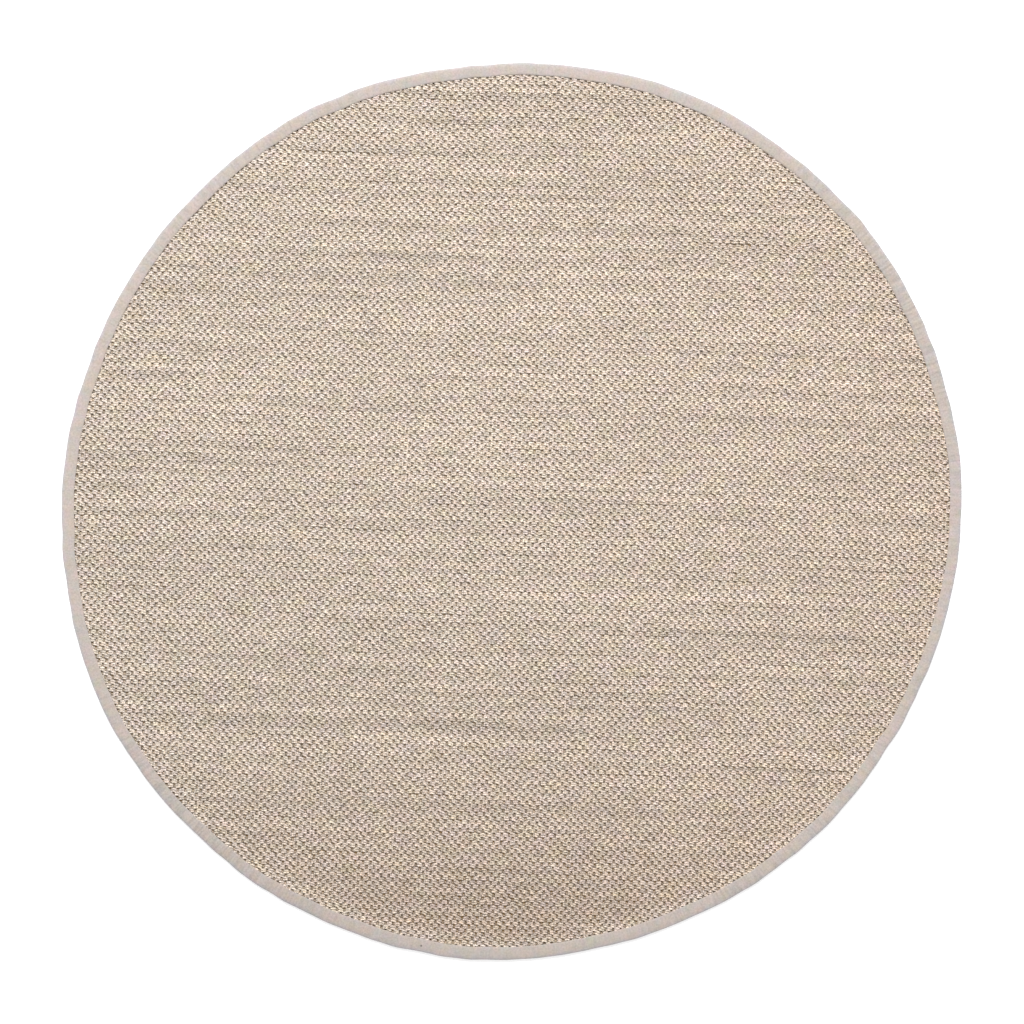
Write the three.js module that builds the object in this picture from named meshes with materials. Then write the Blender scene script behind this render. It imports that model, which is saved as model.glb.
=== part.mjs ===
// A round rug of plain-woven sisal, its cut edge wrapped in a cotton tape.
// Millimetres, +Z up. The origin is on the floor under the middle of the rug.

import * as THREE from "three";

// Driving dimensions
const DIAMETER = 1330;
const WEAVE_THICKNESS = 6;
const TAPE_THICKNESS = 1;
const TAPE_FACE_WIDTH = 18; // what shows of the tape on the upper side
const TAPE_UNDER_WIDTH = 15; // what is folded under the rug
const TAPE_WIDTH_SWING = 1.7; // the tape's face is this much wider at -Y, and narrower at +Y
const GAP = 0.45; // between the tape and the cloth inside it

// The tape's section, as distances in from the rug's edge and heights above the floor
const EDGE_HEIGHT = 3.2; // of the tape's outermost line
const CREST = { inward: 9, height: 6.6 }; // the tape's highest line
const SHOULDER = { inward: 14, height: 6.35 }; // where the tape starts down to its seam
const HEEL_INWARD = 5; // where the tape comes down on the floor
const TAPE_EDGE_ROUND = 0.6; // taken off the corner of the tape's sewn edge
const ROLL_STEPS = 6; // of half a turn round the rug's edge

// The weave beside and under the tape
const SEAM_DIP = 1.5; // how far the seam draws the weave down
const SEAM_REACH = 8; // how far that dip spreads into the rug
const UNDER_BEND = 7; // how soon the weave rises over the part of the tape folded under it

// The rug isn't a true circle. The cut was drawn out along one diagonal, and the tape pulls
// the edge in and lets it out again in soft swells. Angles in degrees, counter-clockwise from +X.
const OVAL = { along: 40, out: 5.6 };
const SWELLS = [
  { at: 35, spread: 14, out: 1.2 },
  { at: 67, spread: 9, out: 2.4 },
  { at: 91, spread: 9, out: -2.6 },
  { at: 118, spread: 14, out: 4.7 },
  { at: 160, spread: 14, out: -1.4 },
  { at: 190, spread: 9, out: -1.5 },
  { at: 208, spread: 8, out: 1.5 },
  { at: 233, spread: 16, out: -2.4 },
  { at: 287, spread: 13, out: -2.7 },
  { at: 328, spread: 15, out: -2.1 },
];

const RADIUS = DIAMETER / 2;
const STEPS_ROUND = 180;
const SEAM_HEIGHT = WEAVE_THICKNESS - SEAM_DIP; // of the weave under the tape's sewn edge
const radians = THREE.MathUtils.degToRad;

// How far the edge stands out from a true circle at an angle.
function outward(angle) {
  let out = OVAL.out * Math.cos(2 * (angle - radians(OVAL.along)));
  for (const swell of SWELLS) {
    const turn = angle - radians(swell.at);
    const away = Math.atan2(Math.sin(turn), Math.cos(turn));
    out += swell.out * Math.exp(-((away / radians(swell.spread)) ** 2));
  }
  return out;
}

// The middle of the outline, which the origin is to lie under.
function outlineMiddle() {
  const box = new THREE.Box2();
  for (let i = 0; i < STEPS_ROUND; i++) {
    const angle = (2 * Math.PI * i) / STEPS_ROUND;
    const reach = RADIUS + outward(angle);
    box.expandByPoint(new THREE.Vector2(reach * Math.cos(angle), reach * Math.sin(angle)));
  }
  return box.getCenter(new THREE.Vector2());
}

// Half a turn round the rug's edge, from the crest to the heel: two quarters of an ellipse,
// set in from the tape's outer face by a distance square to it.
function edgeRoll(inset) {
  const points = [];
  for (let i = 0; i <= ROLL_STEPS; i++) {
    const turn = (Math.PI * i) / ROLL_STEPS;
    const above = turn < Math.PI / 2;
    const reach = above ? CREST.inward : HEEL_INWARD;
    const rise = above ? CREST.height - EDGE_HEIGHT : EDGE_HEIGHT;
    const square = new THREE.Vector2(-Math.sin(turn) / reach, Math.cos(turn) / rise).normalize();
    const inward = reach * (1 - Math.sin(turn)) - inset * square.x;
    const height = EDGE_HEIGHT + rise * Math.cos(turn) - inset * square.y;
    points.push([inward, height]);
  }
  return points;
}

// The tape: one strip, folded round the edge and sewn down on the upper side.
function tapeSection() {
  const sewnUnder = SEAM_HEIGHT + GAP;
  const sewnTop = sewnUnder + TAPE_THICKNESS;
  return [
    [TAPE_FACE_WIDTH, sewnUnder],
    [SHOULDER.inward, SHOULDER.height - TAPE_THICKNESS],
    ...edgeRoll(TAPE_THICKNESS),
    [TAPE_UNDER_WIDTH, TAPE_THICKNESS],
    [TAPE_UNDER_WIDTH, 0],
    ...edgeRoll(0).reverse(),
    [SHOULDER.inward, SHOULDER.height],
    [TAPE_FACE_WIDTH - TAPE_EDGE_ROUND, sewnTop],
    [TAPE_FACE_WIDTH, sewnTop - TAPE_EDGE_ROUND],
    [TAPE_FACE_WIDTH, sewnUnder],
  ];
}

// The woven panel: flat above and below, thinner and raised off the floor inside the tape.
function weaveSection() {
  const inset = TAPE_THICKNESS + GAP;
  return [
    [RADIUS, 0],
    [TAPE_UNDER_WIDTH + UNDER_BEND, 0],
    [TAPE_UNDER_WIDTH + GAP, inset],
    ...edgeRoll(inset).reverse(),
    [SHOULDER.inward, SHOULDER.height - inset],
    [TAPE_FACE_WIDTH, SEAM_HEIGHT],
    [TAPE_FACE_WIDTH + 2 * GAP, SEAM_HEIGHT],
    [TAPE_FACE_WIDTH + SEAM_REACH / 2, WEAVE_THICKNESS - SEAM_DIP / 4],
    [TAPE_FACE_WIDTH + SEAM_REACH, WEAVE_THICKNESS],
    [RADIUS, WEAVE_THICKNESS],
  ];
}

// Turns a section round the rug's axis and pulls the rings out of round. The weave's inner
// part is stretched with its edge, less and less towards the middle.
function turned(section) {
  const profile = section.map(([inward, height]) => new THREE.Vector2(RADIUS - inward, height));
  const geometry = new THREE.LatheGeometry(profile, STEPS_ROUND).rotateX(Math.PI / 2);
  const middle = outlineMiddle();
  const tapeInside = RADIUS - TAPE_FACE_WIDTH;
  const position = geometry.getAttribute("position");
  for (let i = 0; i < position.count; i++) {
    const radius = Math.hypot(position.getX(i), position.getY(i));
    const angle = Math.atan2(position.getY(i), position.getX(i));
    const underTape = Math.min((RADIUS - radius) / TAPE_FACE_WIDTH, 1);
    const narrowing = TAPE_WIDTH_SWING * Math.sin(angle) * underTape;
    const share = Math.min(radius / tapeInside, 1);
    const moved = radius + (outward(angle) + narrowing) * share;
    position.setX(i, moved * Math.cos(angle) - middle.x * share);
    position.setY(i, moved * Math.sin(angle) - middle.y * share);
  }
  return geometry;
}

const sisal = new THREE.MeshStandardMaterial({ color: 0xc9b8a5, roughness: 0.9, metalness: 0 });
const cotton = new THREE.MeshStandardMaterial({ color: 0xd2c5bb, roughness: 0.95, metalness: 0 });

const weave = new THREE.Mesh(turned(weaveSection()), sisal);
weave.name = "sisal_weave";

const tape = new THREE.Mesh(turned(tapeSection()), cotton);
tape.name = "edge_tape";

const rug = new THREE.Group();
rug.add(weave, tape);

export default rug;
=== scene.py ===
import math

import bpy
import numpy as np
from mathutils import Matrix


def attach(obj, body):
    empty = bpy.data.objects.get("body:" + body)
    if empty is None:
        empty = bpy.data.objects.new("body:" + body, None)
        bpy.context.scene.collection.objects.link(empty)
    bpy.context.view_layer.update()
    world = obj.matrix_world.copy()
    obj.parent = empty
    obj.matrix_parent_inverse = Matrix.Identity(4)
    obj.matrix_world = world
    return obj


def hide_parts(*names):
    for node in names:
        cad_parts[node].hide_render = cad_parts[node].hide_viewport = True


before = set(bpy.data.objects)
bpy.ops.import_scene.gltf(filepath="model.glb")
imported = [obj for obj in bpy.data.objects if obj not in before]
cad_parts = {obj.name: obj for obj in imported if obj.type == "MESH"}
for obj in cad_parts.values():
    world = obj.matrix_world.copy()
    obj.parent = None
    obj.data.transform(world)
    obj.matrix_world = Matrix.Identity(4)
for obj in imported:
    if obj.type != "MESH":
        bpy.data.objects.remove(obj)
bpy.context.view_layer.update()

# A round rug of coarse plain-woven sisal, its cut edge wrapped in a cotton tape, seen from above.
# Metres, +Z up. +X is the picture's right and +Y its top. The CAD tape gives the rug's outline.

MM = 0.001
random = np.random.default_rng(21)

# Camera
LENS = 85.0  # millimetres, on a sensor of so many
SENSOR = 36.0
PICTURE_WIDTH = 1.5138  # what the photograph spans at the height of the cloth
CAMERA_PLACE = (1.3 * MM, -0.65 * MM)

# Stage
FLOOR_HALF = 20.0
FLOOR_DROP = 0.1 * MM  # how far the floor lies under the rug
FLOOR_WHITE = 0.9
FLOOR_GLOW = 0.3  # keeps the floor as white as the photograph's
SKY_STRENGTH = 0.74
SOFTBOX = {"wide": 2.6, "high": 1.6, "watts": 290, "place": (-0.3, 4.2, 4.4)}

# The tape's section, as distances in from the rim and heights above the floor
RIM_HEIGHT = 3.2 * MM
CREST_HEIGHT = 6.6 * MM
CREST_SHARE = 0.5  # of the tape's face, where the crest lies
ROLL_FULLNESS = 2.6  # 2 makes the edge's roll elliptical, and more makes it fuller
ROLL_STEPS = 6  # of each half of the roll, on the tape's outer face
INNER_ROLL_STEPS = 3
HEEL_INWARD = 5.0 * MM
UNDER_WIDTH = 15.0 * MM
UNDER_EDGE_ROUND = 0.1 * MM  # how far the edge folded under the rug bulges
TAPE_THICKNESS = 1.0 * MM
GAP = 0.4 * MM  # between the tape and the weave inside it
TAPE_STEPS = 1440  # round the rim
GROUND_STEPS = 240

# The tape's upper side from its crest to its sewn edge, and its lower side back from there, in
# millimetres out from that edge and below the crest
LIP_TOP = [
    {"out": 5.0, "below": 0.05}, {"out": 3.0, "below": 0.22}, {"out": 1.6, "below": 0.42},
    {"out": 0.6, "below": 0.85}, {"out": 0.1, "below": 1.1}, {"out": 0.0, "below": 1.5},
]
LIP_UNDERSIDE = [{"out": 0.0, "below": 1.85}, {"out": 4.0, "below": 1.2}]

# How the ground rises under the tape, in millimetres out from the tape's sewn edge and above the
# ground there
GROUND_RISE = [
    {"out": 4.0, "above": 2.6}, {"out": 2.5, "above": 0.6}, {"out": 0.0, "above": 0.0},
]

# Small swells of the rim besides those of the CAD tape: degrees and millimetres
EDGE_SWELLS = [
    {"at": 4, "out": 1.3}, {"at": 24, "out": -0.3}, {"at": 34, "out": 0.4},
    {"at": 54, "out": -0.4}, {"at": 64, "out": 0.5}, {"at": 76, "out": -0.6},
    {"at": 88, "out": 0.5}, {"at": 101, "out": -1.0}, {"at": 134, "out": 0.4},
    {"at": 146, "out": 1.2}, {"at": 184, "out": -0.8}, {"at": 196, "out": 0.8},
    {"at": 210, "out": -0.6}, {"at": 224, "out": -1.3}, {"at": 235, "out": 0.7},
    {"at": 248, "out": -0.7}, {"at": 264, "out": 1.1}, {"at": 276, "out": -0.4},
    {"at": 304, "out": -0.5}, {"at": 315, "out": 0.8}, {"at": 337, "out": -0.8},
    {"at": 352, "out": -0.5},
]
EDGE_SWELL_SPREAD = 7  # degrees to each side
FINE_SWELLS = 6.5 * MM  # of each random swell, divided by how many times it comes round the rim
FINE_SWELL_TURNS = range(22, 120, 5)  # how many times each comes round
CAD_STEPS = 180  # round the CAD tape
CAD_TOLERANCE = 0.2 * MM  # within which a CAD point counts as lying at the rim's height

# How wide the tape's face shows, in millimetres, by the angle from +X, counter-clockwise
FACE_WIDTHS = [
    {"at": 0, "wide": 17.2}, {"at": 24, "wide": 19.5}, {"at": 52, "wide": 19.6},
    {"at": 72, "wide": 19.2}, {"at": 90, "wide": 17.7}, {"at": 108, "wide": 18.7},
    {"at": 132, "wide": 19.1}, {"at": 156, "wide": 18.0}, {"at": 180, "wide": 18.7},
    {"at": 192, "wide": 17.9}, {"at": 204, "wide": 19.2}, {"at": 222, "wide": 17.5},
    {"at": 246, "wide": 20.0}, {"at": 270, "wide": 19.1}, {"at": 288, "wide": 19.5},
    {"at": 312, "wide": 19.0}, {"at": 342, "wide": 16.3},
]

# How deep the tape puckers where it was eased round the rug, in millimetres, and how light it is
PUCKERS = [
    {"at": 0, "deep": 0.15, "tone": 1.012}, {"at": 15, "deep": 0.2, "tone": 0.987},
    {"at": 30, "deep": 0.3, "tone": 0.967}, {"at": 42, "deep": 0.2, "tone": 0.965},
    {"at": 55, "deep": 0.1, "tone": 0.962}, {"at": 85, "deep": 0.04, "tone": 0.98},
    {"at": 105, "deep": 0.06, "tone": 0.972}, {"at": 118, "deep": 0.14, "tone": 0.967},
    {"at": 135, "deep": 0.18, "tone": 0.985}, {"at": 150, "deep": 0.1, "tone": 1.0},
    {"at": 178, "deep": 0.04, "tone": 1.015}, {"at": 200, "deep": 0.05, "tone": 0.99},
    {"at": 212, "deep": 0.2, "tone": 0.977}, {"at": 228, "deep": 0.28, "tone": 0.955},
    {"at": 242, "deep": 0.15, "tone": 0.935}, {"at": 255, "deep": 0.05, "tone": 0.965},
    {"at": 280, "deep": 0.06, "tone": 0.99}, {"at": 295, "deep": 0.18, "tone": 0.985},
    {"at": 315, "deep": 0.22, "tone": 1.0}, {"at": 340, "deep": 0.12, "tone": 1.012},
]
PUCKER_LENGTH = 8.3 * MM
PUCKER_WANDER = {"by": 3.0, "length": 0.05}  # radians by which a pucker is out of step
PUCKER_FADE = 2.5 * MM  # above the rim's height, where the puckers are full
RIPPLE = {"by": 0.06 * MM, "length": 0.03}  # random, on top of the puckers

# The weave's lattice: nubs of two weft floats side by side, each over one warp
PITCH = 11.22 * MM  # from nub to nub along a row
ROW_STEP = 5.984 * MM
ROW_STEP_SWING = {"by": 0.104 * MM, "length": 1.036, "from": 0.047}
ROW_SLOPE = -0.0345
COLUMN_LEAN = 0.0664
ROW_WAVE = {"by": 1.47 * MM, "length": 0.77, "from": -0.313}
WANDER = {"by": 0.3 * MM, "length": 0.12}
LATTICE_REACH = 0.7  # from the middle, past the rim on every side
WEAVE_TOP = 6.0 * MM
GROUND_TOP = 2.65 * MM
SEAM_DIP = 0.3 * MM
SEAM_REACH = 8.0 * MM
UNDER_TAPE = 4.5 * MM  # how far the weave runs on under the tape
UNDER_DIP = 0.9 * MM  # how much further it dips there
UNDER_BEND = 7.0 * MM  # how soon the ground rises over the part of the tape folded under it

# The two floats of a nub, in millimetres from its middle. Both ends bow towards -Y, and the
# end at +X hooks further that way.
FLOATS = [
    {"x": 1.25, "y": 1.9, "long": 9.8, "wide": 4.3, "bow": 0.65, "hook": 0.75, "shade": 0.96},
    {"x": 0.9, "y": -1.25, "long": 9.5, "wide": 3.6, "bow": 0.0, "hook": 1.0, "shade": 1.06},
]
FLOAT_FORM = {"crest": 1.35, "drop": 1.8, "full": 0.74}  # full is the share that isn't pointed
FLOAT_PIECES = 4
GRAIN_SIDES = 3

# The warp's crossing beside each nub, in millimetres from the middle between two nubs. It leans
# so many degrees from square to the rows, and its tone follows the floats' by so large a share.
WARP = {
    "x": 1.1, "y": -0.55, "top": 4.05, "long": 7.7, "wide": 9.4, "crest": 0.5, "drop": 1.1,
    "lean": 11, "tone_share": 0.5,
}

# The cloth is slacker towards -Y, and a little to both sides: the floats lie looser there and the
# warp shows lower and shorter. There the yarn is also painted darker and browner, as painted shade
# for the light that falls lower and dimmer on that part. The seam takes the looseness and this
# painted shade up beside the tape, but for what is left at the seam.
SLACK_AND_PAINTED_SHADE = {
    "sideways": 0.5, "full_at": 0.65, "power": 3.0, "seam_reach": 24 * MM, "left_at_seam": 0.2,
    "looser": 0.4, "down": 0.75, "shorter": 0.2, "darker": 0.215, "browner": 0.06,
}

# How much the hand of the weave varies: millimetres, degrees and shares
UNEVEN = {
    "x": 0.1, "y": 0.22, "row_y": 0.18, "apart": 0.05, "lift": 0.1, "lie": 6, "turn": 6,
    "long": 0.04, "wide": 0.03, "nub_shade": 0.005, "float_shade": 0.005, "warp_lift": 0.05,
}

# Colours, linear
FLOAT_COLOUR = (0.721, 0.628, 0.542)
WARP_COLOUR = (0.446, 0.359, 0.27)
# The ground's upper side: the yarn under the floats, painted dark brown as the shade down in the
# holes between the nubs
GROUND_PAINTED_SHADE = (0.3, 0.185, 0.075)
UNDER_COLOUR = (0.66, 0.56, 0.47)
TAPE_COLOUR = (0.495, 0.432, 0.392)
# The tape where it turns over the edge, painted greyer and bluer: painted cool light on its roll
TAPE_RIM_PAINTED_LIGHT = (0.495, 0.458, 0.46)  # where it turns over the edge
TAPE_RIM_REACH = 6.0 * MM  # how far in from the rim that colour reaches
SPECULAR_LEVEL = 0.2  # of all the cloth
COLOUR_LAYER = "yarn_colour"

# How much the yarn's tone drifts over the whole cloth, from row to row and along a row, and over
# what lengths. A flatness is how much flatter a drift is in Y.
TONE_DRIFTS = {
    "broad": 0.008, "broad_length": 0.28, "broad_flatness": 3.0,
    "row": 0.044, "row_length": 0.6, "along": 0.02, "along_length": 0.14,
}

# How rosy and how straw-coloured the yarn is: what drifts over the cloth, what is added for each
# metre towards +X, and what varies from nub to nub
TINT_DRIFTS = {
    "rosy": 0.5, "straw": 1.0, "length": 0.04, "flatness": 1.5,
    "rosy_across": 1.1, "straw_across": 0.9, "rosy_nub": 0.4, "straw_nub": 0.5,
}

# The share of a colour's red, green or blue that one of rosy, straw or brown adds
TINTS = {"rosy_red": 0.012, "rosy_green": -0.008, "straw_blue": -0.022, "brown_blue": -0.6}

# The sisal yarn's fibres
FIBRES = {
    "scale": 700.0, "detail": 1.0, "stretch": (0.6, 1.0, 1.0), "contrast": 0.62,
    "deep": 0.14 * MM,
}

# The weave drawn on the ground's underside: how dark its painted shade is between nubs and between
# strands, and the heights between which it ends
UNDERSIDE = {
    "deep": 0.8 * MM, "fibre_contrast": 0.25, "fibre_relief": 0.15, "nub_from": (-0.5, 0.3),
    "shade_between_nubs": 0.35, "shade_between_strands": 0.6, "strand_edge": 0.25,
    "ends_at": (1.0 * MM, 2.0 * MM),
}

# The tape's cloth: the distance from yarn to yarn, what is drawn on it, and each part of its
# relief as a share of its depth
TAPE_YARN = 0.9 * MM
TAPE_SPECKS = {"scale": 420.0, "detail": 2.0, "contrast": 0.13}
# Cross lines where the tape puckers, drawn darker and a little lighter: partly the eased cloth's
# own tone, partly painted shade and light of its small folds
TAPE_LINES = {
    "scale": 260.0, "detail": 1.5, "stretch": (1.0, 0.14, 1.0), "from": (0.25, 0.6),
    "darker": 0.14, "lighter": 0.03,
}
TAPE_LINES_FOR_PUCKERS = 5.0  # how strong the cross lines are for each millimetre of the puckers
TAPE_HUES = {"scale": 75.0, "detail": 2.0, "swing": (0.32, 0.1, 0.32)}
TAPE_RELIEF = {"deep": 0.25 * MM, "weave": 0.12, "specks": 0.4, "thread": 0.5, "sunk": -0.8}

# What is on the tape: the line where its ends meet, a dark fleck, and its stitches. A mark's tone
# holds within one distance and ends at the next, and places round the rim are in degrees.
JOIN = {"at": 86.7, "within": 0.5 * MM, "ends": 1.2 * MM, "tone": 0.93}
FLECK = {"at": 258.3, "inward": 9.2 * MM, "within": 1.0 * MM, "ends": 1.9 * MM, "tone": 0.38}
STITCH = {
    "long": 4.5 * MM, "inward": 2.4 * MM, "wide": 0.7 * MM, "between": 0.1 * MM, "sinks": 0.4 * MM,
}

# The maps for the bake. The tape's strip is cut into rows, with a little of each row's length and
# height left free, and the ground is two discs, a little smaller than their squares.
BAKE_ROWS = 8
BAKE_ROW_LONG = 0.998
BAKE_ROW_HIGH = 0.98
BAKE_SQUARE = 1.005  # the side of a disc's square, for each diameter of the disc
UNDERSIDE_BELOW = 1.5 * MM  # the height under which a face counts as the underside's

# Darker and lighter streaks along the rows, in millimetres from the rug's middle. A streak spreads
# over so many rows to each side of its line, and its tone is the share by which it is lighter.
STREAKS = [
    {"from": -609, "to": -461, "y": 202, "rows": 1.2, "tone": -0.14},
    {"from": -387, "to": -91, "y": 153, "rows": 1.2, "tone": -0.10},
    {"from": -239, "to": 279, "y": 569, "rows": 1.2, "tone": -0.08},
    {"from": 57, "to": 368, "y": 494, "rows": 1.2, "tone": -0.09},
    {"from": -224, "to": -91, "y": 377, "rows": 1.2, "tone": -0.10},
    {"from": 205, "to": 501, "y": 387, "rows": 1.2, "tone": -0.10},
    {"from": -609, "to": -268, "y": 96, "rows": 1.2, "tone": -0.08},
    {"from": -623, "to": -535, "y": 41, "rows": 1.2, "tone": -0.10},
    {"from": -180, "to": 240, "y": 17, "rows": 2.0, "tone": -0.05},
    {"from": 161, "to": 575, "y": -185, "rows": 1.2, "tone": -0.10},
    {"from": -594, "to": -239, "y": -208, "rows": 1.2, "tone": -0.08},
    {"from": -313, "to": 131, "y": -316, "rows": 1.2, "tone": -0.08},
    {"from": 279, "to": 501, "y": -385, "rows": 1.2, "tone": -0.10},
    {"from": -268, "to": 486, "y": -441, "rows": 1.2, "tone": -0.09},
    {"from": -120, "to": 72, "y": -530, "rows": 1.2, "tone": -0.08},
    {"from": -476, "to": -357, "y": 402, "rows": 1.2, "tone": 0.08},
    {"from": -209, "to": -61, "y": 272, "rows": 1.2, "tone": 0.07},
    {"from": -579, "to": -387, "y": 217, "rows": 1.2, "tone": 0.08},
    {"from": 205, "to": 471, "y": -131, "rows": 1.2, "tone": 0.07},
    {"from": 131, "to": 398, "y": -256, "rows": 1.2, "tone": 0.08},
    {"from": -268, "to": -46, "y": -330, "rows": 1.2, "tone": 0.07},
    {"from": -46, "to": 309, "y": -128, "rows": 1.2, "tone": 0.07},
    {"from": 13, "to": 309, "y": -35, "rows": 1.2, "tone": 0.06},
    {"from": -300, "to": 240, "y": -565, "rows": 7, "tone": -0.04},
    {"from": 180, "to": 600, "y": -370, "rows": 14, "tone": 0.03},
    {"from": -440, "to": -150, "y": -427, "rows": 6, "tone": -0.04},
    {"from": -370, "to": -100, "y": -237, "rows": 6, "tone": -0.05},
    {"from": -600, "to": 400, "y": -250, "rows": 20, "tone": -0.02},
    {"from": -600, "to": 80, "y": 335, "rows": 7, "tone": -0.055},
    {"from": -240, "to": 240, "y": 625, "rows": 5, "tone": -0.06},
]
STREAK_FADE = 3.0  # 3 lets a streak fade over the last third of each half


def spread(count, by, furthest=2.5):
    """Seeded random numbers round 0, with none further out than so many spreads."""
    return np.clip(random.normal(0, by, count), -furthest * by, furthest * by)


def drift(x, y, length, flatness=1.0, waves=28):
    """A smooth random field of spread 1. Its features are about so long, and flatter in Y."""
    total = np.zeros_like(x)
    for _ in range(waves):
        heading = random.uniform(0, 2 * math.pi)
        number = 2 * math.pi / (length * random.uniform(0.6, 1.8))
        phase = random.uniform(0, 2 * math.pi)
        total += np.cos(number * (x * math.cos(heading) + flatness * y * math.sin(heading)) + phase)
    return total * math.sqrt(2 / waves)


def ease(share):
    """A soft step from 0 to 1."""
    share = np.clip(share, 0, 1)
    return share * share * (3 - 2 * share)


def angles_round(count):
    """So many angles all the way round."""
    return np.linspace(0, 2 * math.pi, count, endpoint=False)


def ring_values(angles, table, column, soft=6):
    """A column of a table with an angle in each row, for any angle, softened by some degrees."""
    at = np.radians([row["at"] for row in table])
    values = np.array([row[column] for row in table], float)
    fine = angles_round(720)
    between = np.interp(fine, at, values, period=2 * math.pi)
    turn = np.minimum(fine, 2 * math.pi - fine)
    kernel = np.exp(-((turn / np.radians(soft)) ** 2))
    smooth = np.fft.ifft(np.fft.fft(between) * np.fft.fft(kernel / kernel.sum())).real
    return np.interp(angles, fine, smooth, period=2 * math.pi)


def make_camera():
    """Straight above the rug, its top edge towards +Y."""
    camera = bpy.data.objects.new("camera", bpy.data.cameras.new("camera"))
    camera.data.lens = LENS
    camera.data.sensor_width = SENSOR
    camera.data.dof.use_dof = False
    distance = PICTURE_WIDTH * LENS / SENSOR
    camera.location = (*CAMERA_PLACE, WEAVE_TOP + distance)
    bpy.context.scene.collection.objects.link(camera)
    bpy.context.scene.camera = camera


class Outline:
    """The rug's rim, from the CAD tape's, and the tape's face width, for any angle."""

    def __init__(self, node):
        points = np.zeros(len(node.data.vertices) * 3, np.float32)
        node.data.vertices.foreach_get("co", points)
        points = points.reshape(-1, 3).astype(float)
        level = points[np.abs(points[:, 2] - RIM_HEIGHT) < CAD_TOLERANCE]
        reach = np.hypot(level[:, 0], level[:, 1])
        angle = np.arctan2(level[:, 1], level[:, 0])
        step = np.round(angle / (2 * math.pi) * CAD_STEPS) % CAD_STEPS
        order = np.lexsort((reach, step))
        outermost = order[np.append(np.diff(step[order]) > 0, True)]
        self.angle = angle[outermost]
        self.reach = reach[outermost]
        self.fine_swells = [
            {"turns": turns, "by": FINE_SWELLS / turns, "from": random.uniform(0, 2 * math.pi)}
            for turns in FINE_SWELL_TURNS
        ]

    def rim(self, angles):
        """How far the rim is from the middle."""
        rim = np.interp(angles, self.angle, self.reach, period=2 * math.pi)
        for swell in EDGE_SWELLS:
            turn = angles - math.radians(swell["at"])
            away = np.arctan2(np.sin(turn), np.cos(turn)) / math.radians(EDGE_SWELL_SPREAD)
            rim = rim + swell["out"] * MM * np.exp(-(away**2))
        for swell in self.fine_swells:
            rim = rim + swell["by"] * np.sin(swell["turns"] * angles + swell["from"])
        return rim

    def face(self, angles):
        """How wide the tape's face is."""
        return ring_values(angles, FACE_WIDTHS, "wide") * MM

    def inside(self, x, y):
        """How far a place lies in from the tape's sewn edge."""
        angles = np.arctan2(y, x)
        return self.rim(angles) - self.face(angles) - np.hypot(x, y)


def new_object(name, points, faces, material):
    """A mesh object from an array of points and an array of triangles or quads."""
    mesh = bpy.data.meshes.new(name)
    mesh.vertices.add(len(points))
    mesh.vertices.foreach_set("co", np.ascontiguousarray(points, np.float32).ravel())
    mesh.loops.add(faces.size)
    mesh.loops.foreach_set("vertex_index", faces.astype(np.int32).ravel())
    mesh.polygons.add(len(faces))
    starts = np.arange(0, faces.size, faces.shape[1], dtype=np.int32)
    mesh.polygons.foreach_set("loop_start", starts)
    mesh.update(calc_edges=True)
    mesh.validate()
    mesh.shade_smooth()
    mesh.materials.append(material)
    piece = bpy.data.objects.new(name, mesh)
    bpy.context.scene.collection.objects.link(piece)
    return piece


def paint(piece, colours, lines=0.0):
    """Keeps one colour for each point, and how strong its cross lines are, for the materials."""
    layer = piece.data.attributes.new(COLOUR_LAYER, "FLOAT_COLOR", "POINT")
    values = np.column_stack([colours, np.broadcast_to(lines, len(colours))])
    layer.data.foreach_set("color", values.astype(np.float32).ravel())


def unwrap(piece, name, u, v):
    """A UV map from two arrays with a value for each corner of each face."""
    layer = piece.data.uv_layers.new(name=name)
    layer.data.foreach_set("uv", np.column_stack([u, v]).astype(np.float32).ravel())


def unwrap_from_above(piece, points, faces):
    """The UV map for the bake, as the cloth is seen from above."""
    corners = points[faces.ravel(), :2]
    low, high = corners.min(axis=0), corners.max(axis=0)
    u, v = ((corners - low) / (high - low)).T
    unwrap(piece, "OFBake", u, v)


def grain_shape(rings, sides):
    """A closed grain of yarn: its points as shares along, across and up, and its triangles."""
    turns = math.pi / 2 + 2 * math.pi * np.arange(sides) / sides
    widest = np.abs(np.cos(turns)).max()
    points = [(-1.0, 0.0, 0.0)]
    for along in rings:
        points += [(along, math.cos(turn) / widest, math.sin(turn)) for turn in turns]
    points.append((1.0, 0.0, 0.0))
    last = len(points) - 1
    triangles = []
    for side in range(sides):
        beside = (side + 1) % sides
        triangles.append((0, 1 + beside, 1 + side))
        for ring in range(len(rings) - 1):
            near = 1 + ring * sides
            far = near + sides
            triangles.append((near + side, near + beside, far + beside))
            triangles.append((near + side, far + beside, far + side))
        triangles.append((last, last - sides + side, last - sides + beside))
    return np.array(points), np.array(triangles)


def grains(shape, place, size, turn, drop, bow=0.0, hook=0.0):
    """Points of many grains, a row of points for each. Their tips lie a drop under the middle.
    Both ends bow towards -Y, and the end at +X hooks further that way."""
    along, across, up = shape[0].T
    tip = np.abs(along) == 1
    forward = along * size[:, 0:1]
    aside = across * size[:, 1:2] - bow * along**2 - hook * np.where(along > 0, along**2, 0)
    height = up * size[:, 2:3] - drop * tip
    cos, sin = np.cos(turn)[:, None], np.sin(turn)[:, None]
    return np.stack([
        place[:, 0:1] + forward * cos - aside * sin,
        place[:, 1:2] + forward * sin + aside * cos,
        place[:, 2:3] + height,
    ], axis=-1)


def grain_object(name, shape, points, colours, material):
    """One piece of many grains, with a colour for each."""
    count, per_grain = points.shape[:2]
    first = np.arange(count)[:, None, None] * per_grain
    faces = (shape[1][None] + first).reshape(-1, 3)
    points = points.reshape(-1, 3)
    piece = new_object(name, points, faces, material)
    paint(piece, np.repeat(colours, per_grain, axis=0))
    unwrap_from_above(piece, points, faces)
    return piece


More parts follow.
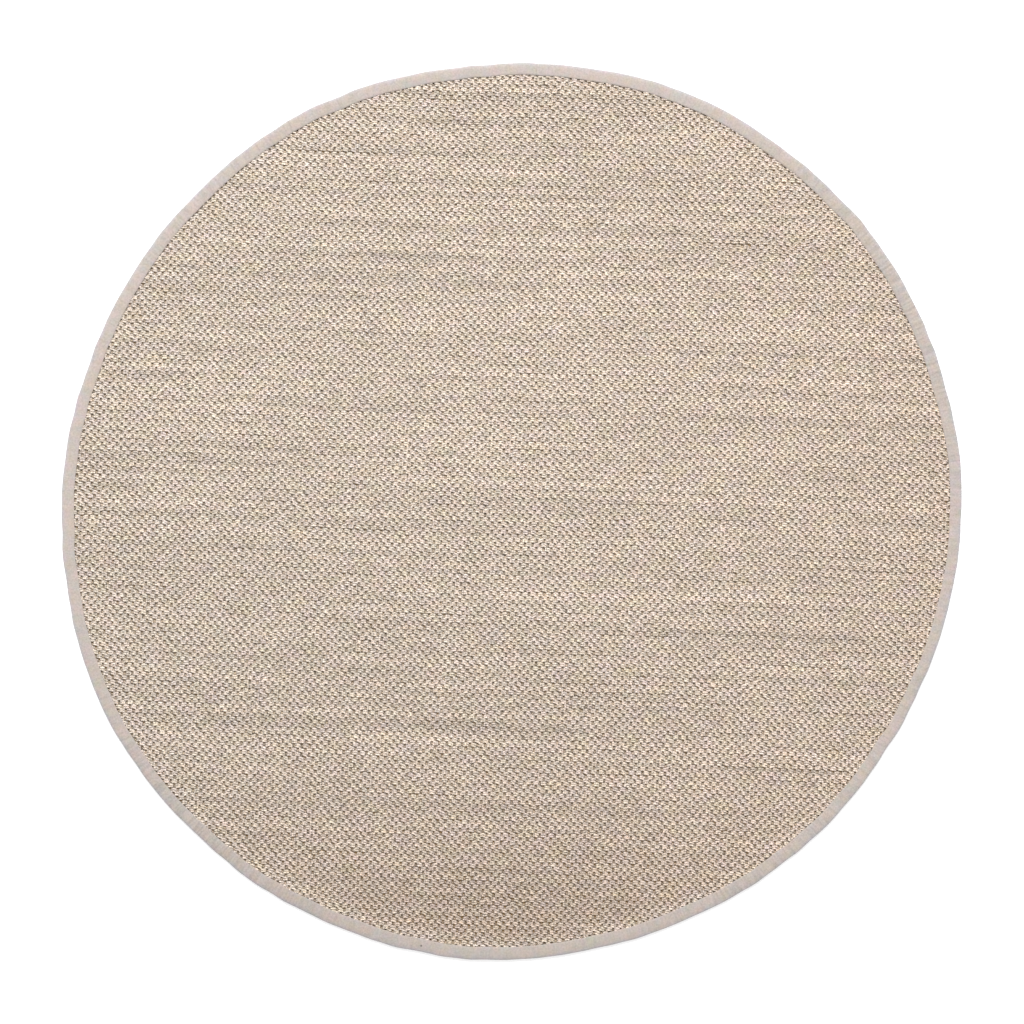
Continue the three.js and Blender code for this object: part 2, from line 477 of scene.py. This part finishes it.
def lay_lattice(outline):
    """All nubs out to a pitch under the tape: their places, and the row that each belongs to."""
    heights = [0.0]
    for way in (1, -1):
        y = 0.0
        while abs(y) < LATTICE_REACH:
            turn = 2 * math.pi * (y - ROW_STEP_SWING["from"]) / ROW_STEP_SWING["length"]
            y += way * (ROW_STEP - ROW_STEP_SWING["by"] * math.sin(turn))
            heights.append(y)
    heights = np.sort(heights)
    side = math.ceil(LATTICE_REACH * (1 + COLUMN_LEAN) / PITCH)
    columns = np.arange(-side, side + 1)
    row, column = np.meshgrid(np.arange(len(heights)), columns, indexing="ij")
    row, column = row.ravel(), column.ravel()
    x = (column + 0.5 * (row % 2)) * PITCH + COLUMN_LEAN * heights[row]
    wave = np.sin(2 * math.pi * (x - ROW_WAVE["from"]) / ROW_WAVE["length"])
    y = heights[row] + ROW_SLOPE * x - ROW_WAVE["by"] * wave
    x = x + WANDER["by"] * drift(x, y, WANDER["length"])
    y = y + WANDER["by"] * drift(x, y, WANDER["length"])
    kept = outline.inside(x, y) > -PITCH
    return x[kept], y[kept], row[kept]


def seam_dip(outline, x, y):
    """How far the seam draws the weave down at a place, and further under the tape."""
    inside = outline.inside(x, y)
    return SEAM_DIP * ease(1 - inside / SEAM_REACH) + UNDER_DIP * ease(-inside / UNDER_TAPE)


def slackness_and_shade(outline, x, y):
    """How loose the cloth is at a place, from 0 to 1, which also sets how much shade is painted on
    its yarn. The seam keeps it tight beside the tape.
    """
    away = np.maximum(SLACK_AND_PAINTED_SHADE["sideways"] * np.abs(x), -y)
    loose = np.clip(away / SLACK_AND_PAINTED_SHADE["full_at"], 0, 1) ** SLACK_AND_PAINTED_SHADE["power"]
    left = np.minimum(loose, SLACK_AND_PAINTED_SHADE["left_at_seam"])
    return left + (loose - left) * ease(outline.inside(x, y) / SLACK_AND_PAINTED_SHADE["seam_reach"])


def along_rows(x, row, length):
    """Random numbers of spread 1, other ones in each row, that change softly every length."""
    share = (x - x.min()) / length
    first = np.floor(share).astype(int)
    knots = random.normal(0, 1, (row.max() + 1, first.max() + 2))
    part = ease(share - first)
    return knots[row, first] * (1 - part) + knots[row, first + 1] * part


def yarn_tone(x, y, row):
    """How light the yarn is, with drifts over the cloth, along each row, and in streaks."""
    by = TONE_DRIFTS
    tone = 1 + by["broad"] * drift(x, y, by["broad_length"], by["broad_flatness"])
    tone += by["row"] * along_rows(x, row, by["row_length"])
    tone += by["along"] * along_rows(x, row, by["along_length"])
    for streak in STREAKS:
        middle = (streak["from"] + streak["to"]) / 2 * MM
        half = (streak["to"] - streak["from"]) / 2 * MM
        line = streak["y"] * MM + ROW_SLOPE * (x - middle)
        within = ease((1 - np.abs(x - middle) / half) * STREAK_FADE)
        near = np.exp(-(((y - line) / (streak["rows"] * ROW_STEP)) ** 2))
        tone = tone * (1 + streak["tone"] * within * near)
    return tone


def tinted(colour, shade, nubs):
    """A colour for each grain: lighter or darker, pinker or greener, yellower or greyer, and
    browner where shade is painted on the looser cloth."""
    # the painted shade's brown, where the cloth lies loose
    brown = SLACK_AND_PAINTED_SHADE["browner"] * nubs["slack_and_shade"]
    red = colour[0] * shade * (1 + TINTS["rosy_red"] * nubs["rosy"] + brown)
    green = colour[1] * shade * (1 + TINTS["rosy_green"] * nubs["rosy"])
    blue = 1 + TINTS["straw_blue"] * nubs["straw"] + TINTS["brown_blue"] * brown
    return np.column_stack([red, green, colour[2] * shade * blue])


def lay_nubs(outline):
    """A column of numbers for every nub: its place, looseness, tone with the painted shade in it,
    and tint.
    """
    x, y, row = lay_lattice(outline)
    count = len(x)
    slack_and_shade = slackness_and_shade(outline, x, y)
    by = TINT_DRIFTS
    rosy = by["rosy"] * drift(x, y, by["length"], by["flatness"]) + by["rosy_across"] * x
    straw = by["straw"] * drift(x, y, by["length"], by["flatness"]) + by["straw_across"] * x
    return {
        "x": x,
        "y": y + UNEVEN["row_y"] * MM * along_rows(x, row, TONE_DRIFTS["along_length"]),
        "slack_and_shade": slack_and_shade,
        # painted shade: the tone is darker where the cloth lies loose, most towards -Y
        "tone": yarn_tone(x, y, row) * (1 - SLACK_AND_PAINTED_SHADE["darker"] * slack_and_shade),
        "rosy": rosy + spread(count, by["rosy_nub"]),
        "straw": straw + spread(count, by["straw_nub"]),
    }


def showing(outline, nubs, x=0.0, y=0.0):
    """The nubs for which a place so far from their middle shows, or lies just under the tape."""
    kept = outline.inside(nubs["x"] + x, nubs["y"] + y) > -UNDER_TAPE
    return {name: column[kept] for name, column in nubs.items()}


def make_floats(outline, nubs, material):
    """The weft floats, two beside each other in every nub, as pieces in turn from -Y to +Y."""
    nubs = showing(outline, nubs)
    count = len(nubs["x"])
    crest, drop = FLOAT_FORM["crest"] * MM, FLOAT_FORM["drop"] * MM
    shape = grain_shape((-FLOAT_FORM["full"], 0.0, FLOAT_FORM["full"]), GRAIN_SIDES)
    looser = 1 + SLACK_AND_PAINTED_SHADE["looser"] * nubs["slack_and_shade"]
    lie = math.atan(ROW_SLOPE) + np.radians(spread(count, UNEVEN["lie"]) * looser)
    nub_x = nubs["x"] + spread(count, UNEVEN["x"] * MM)
    nub_y = nubs["y"] + spread(count, UNEVEN["y"] * MM) * looser
    apart = spread(count, UNEVEN["apart"] * MM)
    own = spread(count, UNEVEN["nub_shade"])
    between = spread(count, UNEVEN["float_shade"])
    points, colours = [], []
    for yarn in FLOATS:
        side = math.copysign(1, yarn["y"])
        x = nub_x + yarn["x"] * MM
        y = nub_y + yarn["y"] * MM + side * apart
        lift = spread(count, UNEVEN["lift"] * MM) * looser - seam_dip(outline, x, y)
        place = np.column_stack([x, y, WEAVE_TOP - crest + lift])
        size = np.column_stack([
            yarn["long"] / 2 * MM * (1 + spread(count, UNEVEN["long"])),
            yarn["wide"] / 2 * MM * (1 + spread(count, UNEVEN["wide"])),
            np.full(count, crest),
        ])
        turn = lie + np.radians(spread(count, UNEVEN["turn"]))
        points.append(grains(shape, place, size, turn, drop, yarn["bow"] * MM, yarn["hook"] * MM))
        shade = yarn["shade"] * nubs["tone"] * (1 + own + side * between)
        colours.append(tinted(FLOAT_COLOUR, shade, nubs))
    pieces = []
    bands = np.array_split(np.argsort(nubs["y"]), FLOAT_PIECES)
    for number, part in enumerate(bands, start=1):
        band_points = np.concatenate([points[0][part], points[1][part]])
        band_colours = np.concatenate([colours[0][part], colours[1][part]])
        name = f"weft_floats_{number}"
        pieces.append(grain_object(name, shape, band_points, band_colours, material))
    return pieces


def make_warps(outline, nubs, material):
    """The warp crossings that show between the nubs of a row, one beside each nub."""
    beside = PITCH / 2 + WARP["x"] * MM
    above = ROW_SLOPE * PITCH / 2 + WARP["y"] * MM
    nubs = showing(outline, nubs, beside, above)
    count = len(nubs["x"])
    shape = grain_shape((0.0,), GRAIN_SIDES)
    x = nubs["x"] + beside + spread(count, UNEVEN["x"] * MM)
    y = nubs["y"] + above + spread(count, UNEVEN["y"] * MM)
    lift = spread(count, UNEVEN["warp_lift"] * MM) - seam_dip(outline, x, y)
    lift -= SLACK_AND_PAINTED_SHADE["down"] * MM * nubs["slack_and_shade"]
    place = np.column_stack([x, y, (WARP["top"] - WARP["crest"]) * MM + lift])
    long = WARP["long"] / 2 * MM * (1 - SLACK_AND_PAINTED_SHADE["shorter"] * nubs["slack_and_shade"])
    size = np.column_stack([
        long * (1 + spread(count, UNEVEN["long"])),
        WARP["wide"] / 2 * MM * (1 + spread(count, UNEVEN["wide"])),
        np.full(count, WARP["crest"] * MM),
    ])
    turn = np.radians(90 + WARP["lean"] + spread(count, UNEVEN["turn"]))
    points = grains(shape, place, size, turn, WARP["drop"] * MM)
    follows = WARP["tone_share"]
    shade = 1 - follows + follows * nubs["tone"] + spread(count, UNEVEN["float_shade"])
    return grain_object("warp_crossings", shape, points, tinted(WARP_COLOUR, shade, nubs), material)


def roll(inset, width, steps):
    """A line over the rim from the crest to the heel, set in square to the tape's outer face.
    Rows are angles round the rug, and columns the steps of the line."""
    turn = np.linspace(0, math.pi, 2 * steps + 1)
    above = turn < math.pi / 2
    reach = np.where(above, CREST_SHARE * width[:, None], HEEL_INWARD)
    rise = np.where(above, CREST_HEIGHT - RIM_HEIGHT, RIM_HEIGHT)
    side, top = np.sin(turn), np.cos(turn)
    power = ROLL_FULLNESS
    swell = (np.abs(side) ** power + np.abs(top) ** power) ** (-1 / power)
    square_side = -np.abs(side) ** (power - 1) / reach
    square_top = np.sign(top) * np.abs(top) ** (power - 1) / rise
    length = np.hypot(square_side, square_top)
    inward = reach * (1 - swell * side) - inset * square_side / length
    height = RIM_HEIGHT + rise * swell * top - inset * square_top / length
    return np.stack([inward, height], axis=-1)


def whole_section(lines, count):
    """The section at each angle, from stretches of it and single points. A point's distance
    inward and height are the same all round or given for each angle."""
    stretches = []
    for line in lines:
        if isinstance(line, tuple):
            point = np.empty((count, 1, 2))
            point[:, 0, 0], point[:, 0, 1] = line
            line = point
        stretches.append(line)
    return np.concatenate(stretches, axis=1)


def section_points(outline, angles, section):
    """Points in space of a section that changes round the rim."""
    reach = outline.rim(angles)[:, None] - section[..., 0]
    x = reach * np.cos(angles)[:, None]
    y = reach * np.sin(angles)[:, None]
    return np.stack([x, y, section[..., 1]], axis=-1)


def ring_faces(count, around):
    """Quads between neighbouring sections, all the way round, with each section closed."""
    step, line = np.meshgrid(np.arange(count), np.arange(around), indexing="ij")
    beyond, beside = (step + 1) % count, (line + 1) % around
    corners = [step * around + line, step * around + beside,
               beyond * around + beside, beyond * around + line]
    return np.stack(corners, axis=-1).reshape(-1, 4)


def make_tape(outline, material):
    """The tape: folded round the edge, sewn down above, with puckers where it was eased in."""
    angles = angles_round(TAPE_STEPS)
    width = outline.face(angles)
    lip_under, lip_top = [
        [(width - point["out"] * MM, CREST_HEIGHT - point["below"] * MM) for point in side]
        for side in (LIP_UNDERSIDE, LIP_TOP)
    ]
    section = whole_section([
        *lip_under,
        roll(TAPE_THICKNESS, width, INNER_ROLL_STEPS),
        (UNDER_WIDTH, TAPE_THICKNESS),
        (UNDER_WIDTH + UNDER_EDGE_ROUND, 0.5 * TAPE_THICKNESS),
        (UNDER_WIDTH, 0),
        roll(0, width, ROLL_STEPS)[:, ::-1],
        *lip_top,
    ], TAPE_STEPS)
    length = angles * outline.reach.mean()
    deep = ring_values(angles, PUCKERS, "deep")
    section[..., 1] += pucker_heights(section, length, deep)
    points = section_points(outline, angles, section)
    around = section.shape[1]
    faces = ring_faces(TAPE_STEPS, around)
    piece = new_object("cotton_tape", points.reshape(-1, 3), faces, material)
    # painted cool light on the roll over the edge
    rim_light_share = ease(1 - section[..., 0:1] / TAPE_RIM_REACH)
    colour = TAPE_COLOUR + rim_light_share * (np.array(TAPE_RIM_PAINTED_LIGHT) - TAPE_COLOUR)
    tone = ring_values(angles, PUCKERS, "tone")[:, None, None]
    paint(piece, (colour * tone).reshape(-1, 3), np.repeat(TAPE_LINES_FOR_PUCKERS * deep, around))
    unwrap_tape(piece, section, length)
    return piece


def pucker_heights(section, length, deep):
    """How far the puckers raise or lower each point of the tape's upper side."""
    level = np.zeros_like(length)
    wander = PUCKER_WANDER["by"] * drift(length, level, PUCKER_WANDER["length"])
    wave = deep * MM * np.sin(2 * math.pi * length / PUCKER_LENGTH + wander)
    wave += RIPPLE["by"] * drift(length, level, RIPPLE["length"])
    raised = ease((section[..., 1] - RIM_HEIGHT) / PUCKER_FADE)
    return raised * wave[:, None]


def unwrap_tape(piece, section, length):
    """Two UV maps: metres along the strip and across it from its sewn edge, for its weave, and
    the strip cut into rows for the bake."""
    count, around = section.shape[:2]
    steps = np.diff(section[0], axis=0, append=section[0, :1])
    across = np.concatenate([[0], np.cumsum(np.hypot(steps[:, 0], steps[:, 1]))])
    across = across[-1] - across
    step, line = np.meshgrid(np.arange(count), np.arange(around), indexing="ij")
    along = np.append(length, length[1] * count)
    u = np.stack([along[step], along[step], along[step + 1], along[step + 1]], axis=-1).ravel()
    v = np.stack([across[line], across[line + 1], across[line + 1], across[line]], axis=-1).ravel()
    unwrap(piece, "strip", u, v)
    row = np.repeat((step * BAKE_ROWS // count).ravel(), 4)
    u_row = (u / along[-1] * BAKE_ROWS - row) * BAKE_ROW_LONG
    unwrap(piece, "OFBake", u_row, (row + BAKE_ROW_HIGH * v / across[0]) / BAKE_ROWS)


def make_ground(outline, material):
    """The ground of the weave: the yarns under the floats, thinned inside the tape, with painted
    shade on their upper side.
    """
    angles = angles_round(GROUND_STEPS)
    width = outline.face(angles)
    inset = TAPE_THICKNESS + GAP
    at_seam = GROUND_TOP - SEAM_DIP
    section = whole_section([
        (UNDER_WIDTH + UNDER_BEND, 0),
        (UNDER_WIDTH + GAP, inset),
        roll(inset, width, INNER_ROLL_STEPS)[:, ::-1],
        *[(width - point["out"] * MM, at_seam + point["above"] * MM) for point in GROUND_RISE],
        (width + SEAM_REACH / 2, GROUND_TOP - SEAM_DIP / 4),
        (width + SEAM_REACH, GROUND_TOP),
    ], GROUND_STEPS)
    edge = section_points(outline, angles, section)
    shares = np.array([0.75, 0.5, 0.25, 0.0])  # of the way out, with the last in the middle
    above = edge[:, -1:, :] * np.array([1, 1, 0]) * shares[None, :, None]
    above[..., 2] = GROUND_TOP
    below = edge[:, :1, :] * np.array([1, 1, 0]) * shares[None, ::-1, None]
    points = np.concatenate([edge, above, below], axis=1)
    faces = ring_faces(GROUND_STEPS, points.shape[1])
    points = points.reshape(-1, 3)
    piece = new_object("sisal_ground", points, faces, material)
    on_floor = points[:, 2] == 0
    # painted shade on the upper side, the yarn's own colour on the underside
    paint(piece, np.where(on_floor[:, None], UNDER_COLOUR, GROUND_PAINTED_SHADE))
    unwrap_ground(piece, points, faces, outline.reach.max())
    return piece


def unwrap_ground(piece, points, faces, reach):
    """The UV map for the bake: the upper side's disc, and the underside's to the right of it."""
    x, y = points[faces.ravel(), :2].T
    beneath = np.repeat(points[faces, 2].mean(axis=1) < UNDERSIDE_BELOW, 4)
    side = 2 * BAKE_SQUARE
    u = (x / reach + 1) / (2 * side) + 0.5 * beneath
    unwrap(piece, "OFBake", u, (y / reach + 1) / side)


def add(tree, kind, settings=None, values=None):
    """A new node with its settings and input values by name."""
    node = tree.nodes.new("ShaderNode" + kind)
    for name, value in (settings or {}).items():
        setattr(node, name, value)
    for name, value in (values or {}).items():
        node.inputs[name].default_value = value
    return node


def feed(tree, node, *values):
    """The node, its inputs fed in turn with constants or the outputs of other nodes."""
    for socket, value in zip(node.inputs, values):
        if isinstance(value, bpy.types.NodeSocket):
            tree.links.new(value, socket)
        else:
            socket.default_value = value
    return node


def maths(tree, operation, *values):
    """The output of a Math node."""
    return feed(tree, add(tree, "Math", {"operation": operation}), *values).outputs["Value"]


def vector_maths(tree, operation, *values):
    """A Vector Math node."""
    return feed(tree, add(tree, "VectorMath", {"operation": operation}), *values)


def parts_of(tree, vector):
    """The X, Y and Z of a vector."""
    return feed(tree, add(tree, "SeparateXYZ"), vector).outputs


def ranged(tree, value, low, high, to_low, to_high):
    """A value's range from low to high, mapped onto another and clamped."""
    node = add(tree, "MapRange", values={
        "From Min": low, "From Max": high, "To Min": to_low, "To Max": to_high,
    })
    tree.links.new(value, node.inputs["Value"])
    return node.outputs["Result"]


def wave(tree, kind, value, length):
    """A sine or cosine that comes round every length."""
    return maths(tree, kind, maths(tree, "MULTIPLY", value, 2 * math.pi / length))


def distance_from(tree, value, line):
    """How far a value is from a line, to either side."""
    return maths(tree, "ABSOLUTE", maths(tree, "SUBTRACT", value, line))


def noise(tree, vector, drawn):
    """A noise texture from a table. Its features are longer where its stretch is less than 1."""
    stretch = drawn.get("stretch", (1.0, 1.0, 1.0))
    mapping = add(tree, "Mapping", values={"Scale": stretch})
    texture = add(tree, "TexNoise", values={"Scale": drawn["scale"], "Detail": drawn["detail"]})
    tree.links.new(vector, mapping.inputs["Vector"])
    tree.links.new(mapping.outputs["Vector"], texture.inputs["Vector"])
    return texture


def varied(tree, value, contrast, usual=0.2):
    """A tone round 1 from a noise, whose usual range reaches so far from a half."""
    return ranged(tree, value, 0.5 - usual, 0.5 + usual, 1 - contrast, 1 + contrast)


def yarn_colour(tree, tone):
    """The point's own colour times a tone."""
    colour = add(tree, "Attribute", {"attribute_name": COLOUR_LAYER}).outputs["Color"]
    scaled = vector_maths(tree, "SCALE", colour)
    tree.links.new(tone, scaled.inputs["Scale"])
    return scaled.outputs["Vector"]


def new_material(name, roughness):
    """A matt material, its node tree and its shader."""
    material = bpy.data.materials.new(name)
    material.use_nodes = True
    tree = material.node_tree
    shader = tree.nodes["Principled BSDF"]
    shader.inputs["Roughness"].default_value = roughness
    shader.inputs["Specular IOR Level"].default_value = SPECULAR_LEVEL
    return material, tree, shader


def cover(tree, shader, colour, height, depth):
    """Puts a colour and a bump of a depth into the shader."""
    bump = add(tree, "Bump", values={"Strength": 1.0, "Distance": depth})
    tree.links.new(colour, shader.inputs["Base Color"])
    tree.links.new(height, bump.inputs["Height"])
    tree.links.new(bump.outputs["Normal"], shader.inputs["Normal"])


def sisal_material():
    """Dry sisal yarn: its own colour, with fibres that run along the rows."""
    material, tree, shader = new_material("sisal_yarn", roughness=0.8)
    place = add(tree, "TexCoord").outputs["Object"]
    strands = noise(tree, place, FIBRES).outputs["Fac"]
    colour = yarn_colour(tree, varied(tree, strands, FIBRES["contrast"]))
    cover(tree, shader, colour, strands, FIBRES["deep"])
    return material


def ground_material():
    """The same yarn, with the weave's pattern drawn and raised on the underside, and painted shade
    in the gaps between its nubs and strands.
    """
    material, tree, shader = new_material("sisal_ground_yarn", roughness=0.8)
    place = add(tree, "TexCoord").outputs["Object"]
    x, y, z = parts_of(tree, place)
    across = maths(tree, "SUBTRACT", y, maths(tree, "MULTIPLY", x, ROW_SLOPE))
    along = maths(tree, "SUBTRACT", x, maths(tree, "MULTIPLY", y, COLUMN_LEAN))
    column = wave(tree, "COSINE", along, PITCH)
    row = wave(tree, "COSINE", across, 2 * ROW_STEP)
    nub = ranged(tree, maths(tree, "MULTIPLY", column, row), *UNDERSIDE["nub_from"], 0, 1)
    from_middle = maths(tree, "PINGPONG", across, ROW_STEP / 2)
    edge = UNDERSIDE["strand_edge"] * ROW_STEP
    strand = ranged(tree, from_middle, 0, edge, UNDERSIDE["shade_between_strands"], 1)
    raised = maths(tree, "MULTIPLY", nub, strand)
    strands = noise(tree, place, FIBRES).outputs["Fac"]
    fibre_tone = varied(tree, strands, UNDERSIDE["fibre_contrast"])
    # painted shade in the gaps between nubs and between strands
    painted_gap_shade = ranged(tree, raised, 0, 1, UNDERSIDE["shade_between_nubs"], 1)
    pattern = maths(tree, "MULTIPLY", fibre_tone, painted_gap_shade)
    tone = maths(tree, "MAXIMUM", pattern, ranged(tree, z, *UNDERSIDE["ends_at"], 0, 1))
    height = maths(tree, "MULTIPLY_ADD", strands, UNDERSIDE["fibre_relief"], raised)
    cover(tree, shader, yarn_colour(tree, tone), height, UNDERSIDE["deep"])
    return material


def tape_marks(tree, place, along, outline):
    """A tone for the line where the tape's ends meet, and for the fleck."""
    join_line = math.radians(JOIN["at"]) * outline.reach.mean()
    turn = math.radians(FLECK["at"])
    reach = outline.rim(np.array([turn]))[0] - FLECK["inward"]
    fleck_place = (reach * math.cos(turn), reach * math.sin(turn), CREST_HEIGHT)
    tones = []
    for mark, distance in (
        (JOIN, distance_from(tree, along, join_line)),
        (FLECK, vector_maths(tree, "DISTANCE", place, fleck_place).outputs["Value"]),
    ):
        tones.append(ranged(tree, distance, mark["within"], mark["ends"], mark["tone"], 1))
    return maths(tree, "MULTIPLY", *tones)


def tape_stitches(tree, along, across):
    """How much of the thread is at a place, and how far the seam is sunk there, from 0 to 1."""
    from_end = maths(tree, "PINGPONG", along, STITCH["long"] / 2)
    shows = ranged(tree, from_end, STITCH["between"], STITCH["sinks"], 0, 1)
    from_line = distance_from(tree, across, STITCH["inward"])
    thread = maths(tree, "MULTIPLY", ranged(tree, from_line, 0, STITCH["wide"], 1, 0), shows)
    return thread, ranged(tree, from_line, 0, 2 * STITCH["wide"], 1, 0)


def tape_material(outline):
    """Fine plain cotton tape, with cross lines where it was eased in, partly painted shade of its
    folds, clouds of tone and hue, a join, a fleck and a line of sunk stitches along its sewn edge."""
    material, tree, shader = new_material("cotton_tape_cloth", roughness=0.9)
    place = add(tree, "TexCoord").outputs["Object"]
    strip = add(tree, "UVMap", {"uv_map": "strip"}).outputs["UV"]
    along, across, _ = parts_of(tree, strip)

    warp = wave(tree, "SINE", along, TAPE_YARN)
    weft = wave(tree, "SINE", across, TAPE_YARN)
    weave = maths(tree, "MULTIPLY", warp, weft)
    specks = noise(tree, place, TAPE_SPECKS).outputs["Fac"]
    thread, sunk = tape_stitches(tree, along, across)
    parts = {"weave": weave, "specks": specks, "thread": thread, "sunk": sunk}
    height = 0.0
    for name, part in parts.items():
        height = maths(tree, "MULTIPLY_ADD", part, TAPE_RELIEF[name], height)

    # the cross lines: partly the cloth's own tone, partly painted shade and light of the puckers'
    # folds
    drawn = noise(tree, strip, TAPE_LINES).outputs["Fac"]
    drawn = ranged(tree, drawn, *TAPE_LINES["from"], -TAPE_LINES["darker"], TAPE_LINES["lighter"])
    strength = add(tree, "Attribute", {"attribute_name": COLOUR_LAYER}).outputs["Alpha"]
    lines = maths(tree, "MULTIPLY", drawn, strength)
    tone = maths(tree, "ADD", varied(tree, specks, TAPE_SPECKS["contrast"], usual=0.25), lines)
    tone = maths(tree, "MULTIPLY", tone, tape_marks(tree, place, along, outline))

    swing = TAPE_HUES["swing"]
    low = tuple(1 - part / 2 for part in swing)
    hues = noise(tree, place, TAPE_HUES).outputs["Color"]
    hues = vector_maths(tree, "MULTIPLY_ADD", hues, swing, low).outputs["Vector"]
    colour = vector_maths(tree, "MULTIPLY", yarn_colour(tree, tone), hues).outputs["Vector"]
    cover(tree, shader, colour, height, TAPE_RELIEF["deep"])
    return material


def make_stage():
    """A plain white floor and soft light from the picture's top."""
    floor_material, _, shader = new_material("floor", roughness=1.0)
    shader.inputs["Base Color"].default_value = (FLOOR_WHITE, FLOOR_WHITE, FLOOR_WHITE, 1)
    shader.inputs["Specular IOR Level"].default_value = 0.0
    shader.inputs["Emission Color"].default_value = (1, 1, 1, 1)
    shader.inputs["Emission Strength"].default_value = FLOOR_GLOW
    corners = np.array([(x, y, 0) for x, y in ((-1, -1), (1, -1), (1, 1), (-1, 1))]) * FLOOR_HALF
    corners = corners - (0, 0, FLOOR_DROP)
    floor = new_object("floor", corners, np.array([(0, 1, 2, 3)]), floor_material)
    world = bpy.data.worlds.new("studio")
    bpy.context.scene.world = world
    world.use_nodes = True
    sky = world.node_tree.nodes["Background"]
    sky.inputs["Color"].default_value = (1, 1, 1, 1)
    sky.inputs["Strength"].default_value = SKY_STRENGTH
    lamp = bpy.data.lights.new("softbox", "AREA")
    lamp.shape = "RECTANGLE"
    lamp.size, lamp.size_y = SOFTBOX["wide"], SOFTBOX["high"]
    lamp.energy = SOFTBOX["watts"]
    softbox = bpy.data.objects.new("softbox", lamp)
    softbox.location = SOFTBOX["place"]
    _, y, z = SOFTBOX["place"]
    softbox.rotation_euler = (-math.atan2(y, z), 0, 0)
    bpy.context.scene.collection.objects.link(softbox)
    bpy.context.scene.view_settings.view_transform = "Standard"


make_camera()
outline = Outline(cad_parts["edge_tape"])
sisal = sisal_material()
nubs = lay_nubs(outline)
floats = make_floats(outline, nubs, sisal)
warps = make_warps(outline, nubs, sisal)
ground = make_ground(outline, ground_material())
tape = make_tape(outline, tape_material(outline))
make_stage()

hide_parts("sisal_weave")
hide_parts("edge_tape")
for piece in (ground, warps, *floats):
    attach(piece, "root")
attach(tape, "root")
